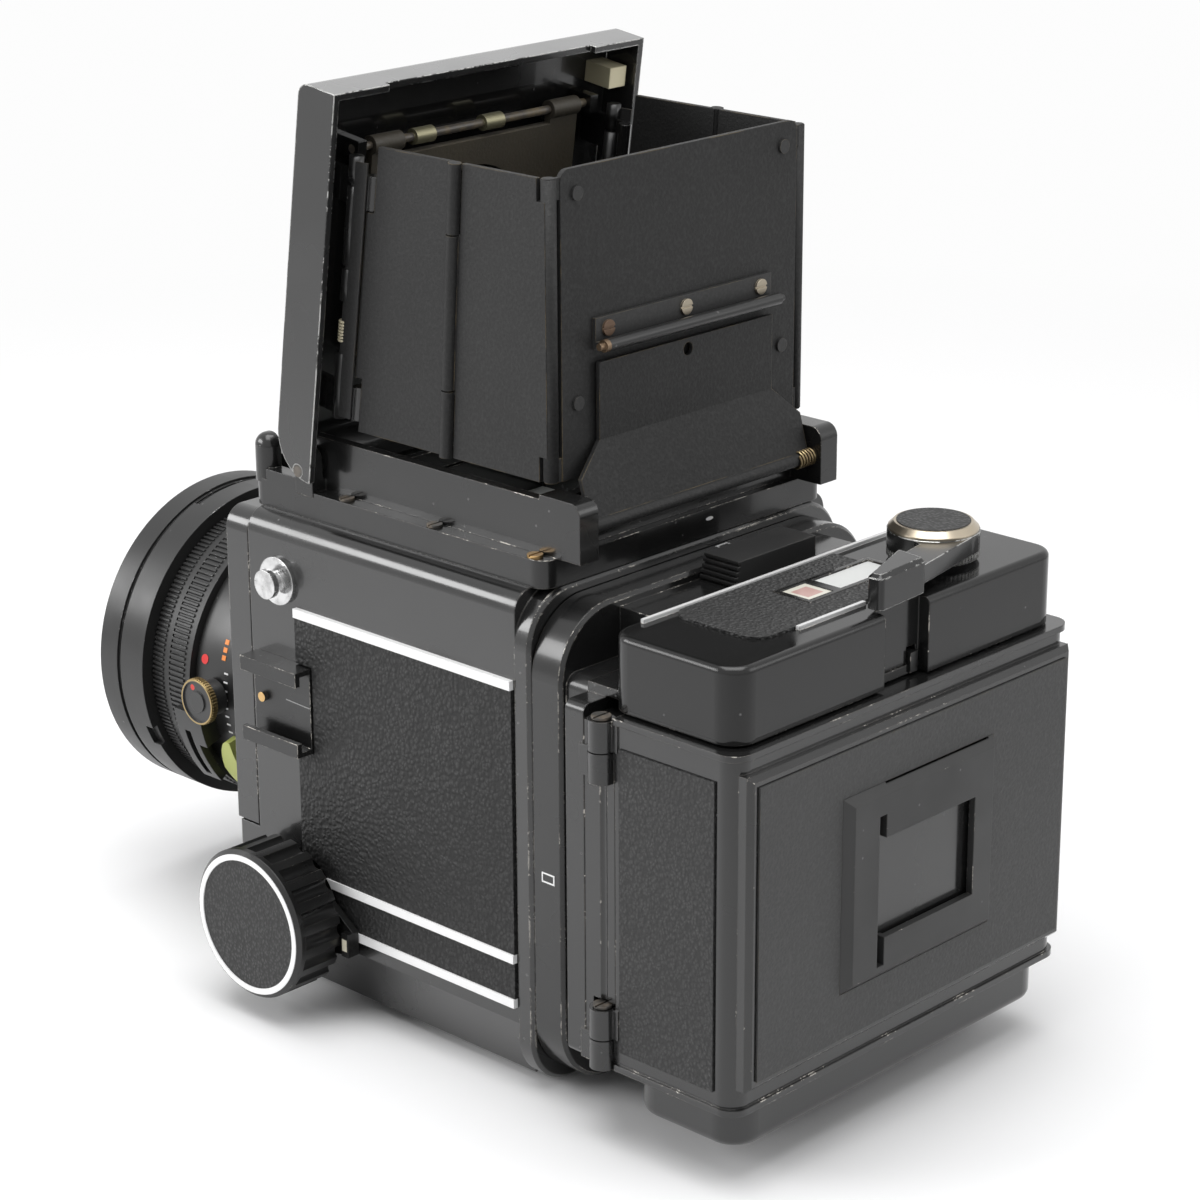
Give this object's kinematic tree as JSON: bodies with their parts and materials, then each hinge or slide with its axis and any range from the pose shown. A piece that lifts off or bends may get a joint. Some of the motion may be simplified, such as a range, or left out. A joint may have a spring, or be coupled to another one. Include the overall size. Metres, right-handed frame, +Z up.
{
  "type": "medium format film camera",
  "caption": "Single-lens reflex camera for wide roll film, with a rack-focused bellows front, a folding waist-level hood and a turning, opening film back.",
  "frame": {"origin": "mouth of the tripod socket, on the plane that the camera stands on", "axes": "+Z up, the lens looks along -Y, the film back is at +Y, +X is the side of the user's left hand"},
  "size_m": [0.1398, 0.2344, 0.2221],
  "materials": {
    "black_enamel": "die-cast aluminium with semi-gloss black enamel, rubbed at the edges",
    "hood_enamel": "sheet metal with fine matte crackle enamel",
    "leatherette": "coarse pebbled black leatherette",
    "white_trim": "bright white strips",
    "bright_chrome": "polished plating",
    "nickel_screws": "worn nickel and brass heads",
    "knob_black": "black anodised, fluted, with a leather cap",
    "gunmetal": "blackened steel, bright where rubbed",
    "steel": "machined steel",
    "lens_black": "satin black anodised",
    "optical_glass": "coated optical glass",
    "ground_screen": "ground glass, matte",
    "silvered_glass": "front-surface mirror",
    "mirror_holder": "matte black and greenish grey plate",
    "bellows_cloth": "pleated black cloth",
    "blade_steel": "blued steel leaves",
    "slider_plastic": "black moulded plastic",
    "cream_plastic": "cream plastic",
    "insert_metal": "black anodised sheet"
  },
  "bodies": {
    "camera_body": {"body_shell": "black_enamel", "base_plate": "black_enamel", "body_fasteners": "nickel_screws", "side_leathers": "leatherette", "trim_strips": "white_trim", "strap_lugs": "bright_chrome", "accessory_shoe": "black_enamel", "finder_base": "black_enamel", "focusing_screen": "ground_screen"},
    "front": {"front_standard": "black_enamel", "focus_racks": "steel", "bellows": "bellows_cloth", "lens_barrel": "lens_black", "lens_front_barrel": "lens_black", "lens_glasses": "optical_glass", "iris_blades": "blade_steel"},
    "focus_drive": {"focus_shaft": "steel", "focus_knobs": "knob_black"},
    "focus_lock": {"focus_lock_lever": "gunmetal"},
    "release": {"release_button": "bright_chrome"},
    "release_lock": {"release_lock_ring": "bright_chrome"},
    "cocking": {"cocking_lever": "gunmetal"},
    "mirror": {"mirror_frame": "mirror_holder", "mirror_glass": "silvered_glass"},
    "lens_lock": {"lens_lock_ring": "lens_black"},
    "aperture": {"aperture_ring": "lens_black"},
    "shutter_speed": {"shutter_speed_ring": "lens_black"},
    "mirror_up": {"mirror_up_knob": "lens_black"},
    "preview": {"preview_lever": "lens_black"},
    "lid": {"hood_lid": "hood_enamel", "magnifier_rod": "gunmetal"},
    "magnifier": {"magnifier_frame": "mirror_holder", "magnifier_lens": "optical_glass"},
    "catch": {"magnifier_catch": "cream_plastic"},
    "side_front_left": {"hood_side_front_left": "hood_enamel"},
    "side_rear_left": {"hood_side_rear_left": "hood_enamel"},
    "side_front_right": {"hood_side_front_right": "hood_enamel"},
    "side_rear_right": {"hood_side_rear_right": "hood_enamel"},
    "rear_panel": {"hood_rear_panel": "hood_enamel", "hood_hinge_leaf": "nickel_screws"},
    "link": {"hood_link_plate": "hood_enamel"},
    "back": {"revolving_adapter": "black_enamel", "back_frame": "black_enamel", "hinge_pins": "nickel_screws", "back_housing": "black_enamel", "housing_leather": "leatherette", "counter_window": "cream_plastic", "film_insert": "insert_metal"},
    "top_lock": {"lock_slider_top": "slider_plastic"},
    "bottom_lock": {"lock_slider_bottom": "slider_plastic"},
    "slide": {"dark_slide": "slider_plastic"},
    "cover": {"back_cover": "black_enamel", "cover_leathers": "leatherette", "memo_clip": "slider_plastic"},
    "latch": {"cover_latch": "slider_plastic"},
    "wind": {"wind_lever": "gunmetal", "wind_shaft": "steel", "wind_lever_cap": "knob_black"},
    "spool": {"take_up_spool": "slider_plastic"},
    "counter": {"counter_dial": "cream_plastic"}
  },
  "joints": [
    {"name": "focus_slide", "type": "slide", "parent": "camera_body", "child": "front", "axis": [0, -1, 0], "range_m": [0, 0.046], "deforming": ["bellows"]},
    {"name": "focus_knob_turn", "type": "hinge", "parent": "camera_body", "child": "focus_drive", "pos_m": [0, -0.027, 0.0246], "axis": [-1, 0, 0], "range_deg": [0, 293]},
    {"name": "focus_lock_swing", "type": "hinge", "parent": "camera_body", "child": "focus_lock", "pos_m": [0.0545, -0.027, 0.0246], "axis": [1, 0, 0], "range_deg": [0, 25]},
    {"name": "release_press", "type": "slide", "parent": "camera_body", "child": "release", "axis": [0, 1, 0], "range_m": [0, 0.002], "stiffness_N_per_m": 500},
    {"name": "release_lock_turn", "type": "hinge", "parent": "camera_body", "child": "release_lock", "pos_m": [-0.045, -0.05, 0.022], "axis": [0, -1, 0], "range_deg": [0, 45]},
    {"name": "cocking_swing", "type": "hinge", "parent": "camera_body", "child": "cocking", "pos_m": [-0.0557, -0.008, 0.052], "axis": [1, 0, 0], "range_deg": [0, 60], "stiffness_Nm_per_rad": 0.15},
    {"name": "mirror_swing", "type": "hinge", "parent": "camera_body", "child": "mirror", "pos_m": [0, 0.039, 0.099], "axis": [-1, 0, 0], "range_deg": [0, 45]},
    {"name": "lens_lock_turn", "type": "hinge", "parent": "front", "child": "lens_lock", "pos_m": [0, -0.055, 0.0605], "axis": [0, -1, 0], "range_deg": [0, 30]},
    {"name": "aperture_turn", "type": "hinge", "parent": "front", "child": "aperture", "pos_m": [0, -0.088, 0.0605], "axis": [0, -1, 0], "range_deg": [0, 70]},
    {"name": "shutter_speed_turn", "type": "hinge", "parent": "front", "child": "shutter_speed", "pos_m": [0, -0.095, 0.0605], "axis": [0, -1, 0], "range_deg": [0, 120]},
    {"name": "mirror_up_turn", "type": "hinge", "parent": "front", "child": "mirror_up", "pos_m": [0.036, -0.0756, 0.0605], "axis": [1, 0, 0], "range_deg": [0, 90]},
    {"name": "preview_swing", "type": "hinge", "parent": "front", "child": "preview", "pos_m": [0, -0.082, 0.0605], "axis": [0, 1, 0], "range_deg": [0, 15]},
    {"name": "lid_tilt", "type": "hinge", "parent": "camera_body", "child": "lid", "pos_m": [0, -0.0265, 0.132], "axis": [-1, 0, 0], "range_deg": [0, 5]},
    {"name": "magnifier_swing", "type": "hinge", "parent": "lid", "child": "magnifier", "pos_m": [0, -0.01695, 0.20639], "axis": [-1, 0, 0], "range_deg": [-90, 0]},
    {"name": "catch_slide", "type": "slide", "parent": "lid", "child": "catch", "axis": [1, 0, 0], "range_m": [0, 0.0015], "stiffness_N_per_m": 150},
    {"name": "hood_fold", "type": "hinge", "parent": "lid", "child": "side_front_left", "pos_m": [0.0402, -0.01121, 0.174], "axis": [0, 0.1392, 0.9903], "range_deg": [0, 88]},
    {"name": "left_middle_fold", "type": "hinge", "parent": "side_front_left", "child": "side_rear_left", "pos_m": [0.0423, 0.01754, 0.174], "axis": [0, -0.0698, -0.9976], "range_deg": [0, 176]},
    {"name": "rear_panel_fold", "type": "hinge", "parent": "side_rear_left", "child": "rear_panel", "pos_m": [0.0402, 0.046, 0.174], "axis": [0, 0, 1], "range_deg": [0, 88]},
    {"name": "right_front_fold", "type": "hinge", "parent": "lid", "child": "side_front_right", "pos_m": [-0.0402, -0.01121, 0.174], "axis": [0, -0.1392, -0.9903], "range_deg": [0, 88]},
    {"name": "right_middle_fold", "type": "hinge", "parent": "side_front_right", "child": "side_rear_right", "pos_m": [-0.0423, 0.01754, 0.174], "axis": [0, 0.0698, 0.9976], "range_deg": [0, 176]},
    {"name": "link_swing", "type": "hinge", "parent": "camera_body", "child": "link", "pos_m": [0, 0.0538, 0.1328], "axis": [1, 0, 0], "range_deg": [0, 6.2]},
    {"name": "adapter_turn", "type": "hinge", "parent": "camera_body", "child": "back", "pos_m": [0, 0.055, 0.0605], "axis": [0, -1, 0], "range_deg": [-90, 0]},
    {"name": "top_lock_slide", "type": "slide", "parent": "back", "child": "top_lock", "axis": [1, 0, 0], "range_m": [0, 0.008]},
    {"name": "bottom_lock_slide", "type": "slide", "parent": "back", "child": "bottom_lock", "axis": [-1, 0, 0], "range_m": [0, 0.008]},
    {"name": "dark_slide_pull", "type": "slide", "parent": "back", "child": "slide", "axis": [-1, 0, 0], "range_m": [0, 0.096]},
    {"name": "cover_swing", "type": "hinge", "parent": "back", "child": "cover", "pos_m": [0.0574, 0.077, 0.0605], "axis": [0, 0, -1], "range_deg": [0, 100]},
    {"name": "latch_slide", "type": "slide", "parent": "cover", "child": "latch", "axis": [0, 0, 1], "range_m": [0, 0.003], "stiffness_N_per_m": 200},
    {"name": "wind_swing", "type": "hinge", "parent": "back", "child": "wind", "pos_m": [-0.03, 0.096, 0.115], "axis": [0, 0, 1], "range_deg": [0, 150], "stiffness_Nm_per_rad": 0.01},
    {"name": "spool_turn", "type": "hinge", "parent": "back", "child": "spool", "pos_m": [-0.039, 0.08806, 0.06], "axis": [0, 0, 1], "range_deg": [-287, 0]},
    {"name": "counter_turn", "type": "hinge", "parent": "back", "child": "counter", "pos_m": [0.018, 0.094, 0.11], "axis": [0, 0, 1], "range_deg": [0, 30]}
  ],
  "couplings": [
    {"joint": "focus_knob_turn", "follows": "focus_slide", "rad_per_m": 111.11},
    {"joint": "lid_tilt", "follows": "hood_fold", "ratio": 0.0568},
    {"joint": "left_middle_fold", "follows": "hood_fold", "ratio": 2},
    {"joint": "rear_panel_fold", "follows": "hood_fold", "ratio": 1},
    {"joint": "right_front_fold", "follows": "hood_fold", "ratio": 1},
    {"joint": "right_middle_fold", "follows": "hood_fold", "ratio": 2},
    {"joint": "link_swing", "follows": "hood_fold", "ratio": 0.07},
    {"joint": "spool_turn", "follows": "wind_swing", "ratio": -1.9091},
    {"joint": "counter_turn", "follows": "wind_swing", "ratio": 0.2}
  ]
}
